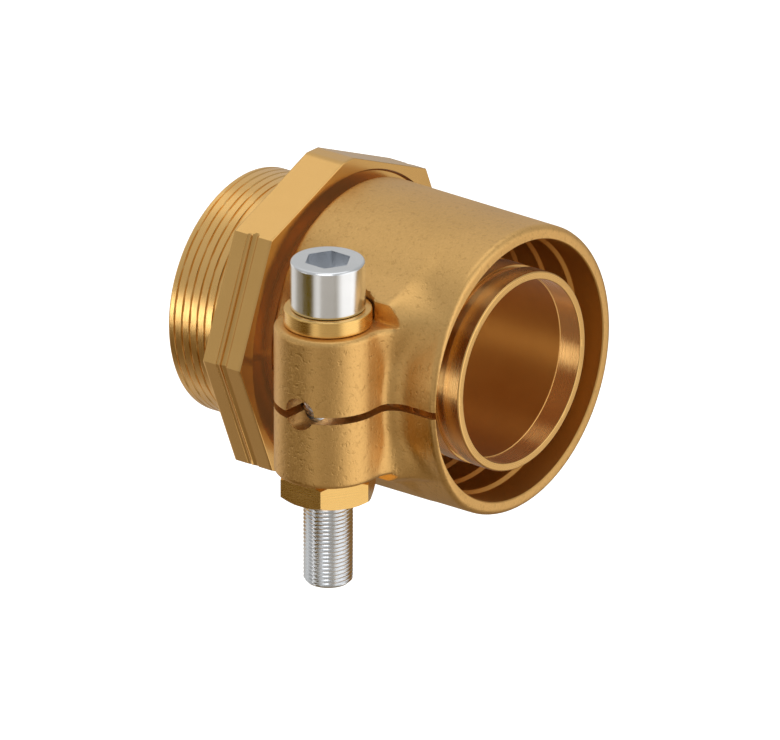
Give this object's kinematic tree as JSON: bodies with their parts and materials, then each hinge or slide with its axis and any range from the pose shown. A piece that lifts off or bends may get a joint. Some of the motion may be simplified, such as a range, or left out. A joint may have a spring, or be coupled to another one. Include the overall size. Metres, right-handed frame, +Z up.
{
  "type": "split clamp pipe coupling",
  "caption": "Brass pipe coupling: male parallel thread, octagon body, pipe insert, and a split clamp sleeve closed by a socket head screw.",
  "frame": {"origin": "on the pipe axis, at the end face of the male thread", "axes": "+X along the pipe axis from the thread to the pipe mouth, +Z up the clamp screw towards its head, the screw lug is on the -Y side"},
  "size_m": [0.0847, 0.0953, 0.0885],
  "materials": {
    "machined_brass": "forged and machined, satin to bright",
    "cast_brass": "blasted casting, fine grain",
    "nut_brass": "machined, bright",
    "washer_brass": "turned, bright",
    "screw_steel": "bright steel",
    "seal_rubber": "matt black"
  },
  "bodies": {
    "nipple": {"threaded_nipple": "machined_brass", "shoulder_seal_ring": "seal_rubber"},
    "sleeve": {"clamp_sleeve": "cast_brass", "clamp_nut": "nut_brass"},
    "washer": {"thick_washer": "washer_brass"},
    "screw": {"clamp_screw": "screw_steel"}
  },
  "joints": [
    {"name": "sleeve_swivel", "type": "hinge", "parent": "nipple", "child": "sleeve", "pos_m": [0.0363, 0, 0], "axis": [1, 0, 0], "continuous": true},
    {"name": "screw_travel", "type": "slide", "parent": "sleeve", "child": "washer", "axis": [0, 0, 1], "range_m": [0, 0.035]},
    {"name": "screw_turn", "type": "hinge", "parent": "washer", "child": "screw", "pos_m": [0.0579, -0.0409, 0], "axis": [0, 0, 1], "range_deg": [0, 12636]}
  ],
  "couplings": [
    {"joint": "screw_turn", "follows": "screw_travel", "rad_per_m": 6283.2}
  ]
}
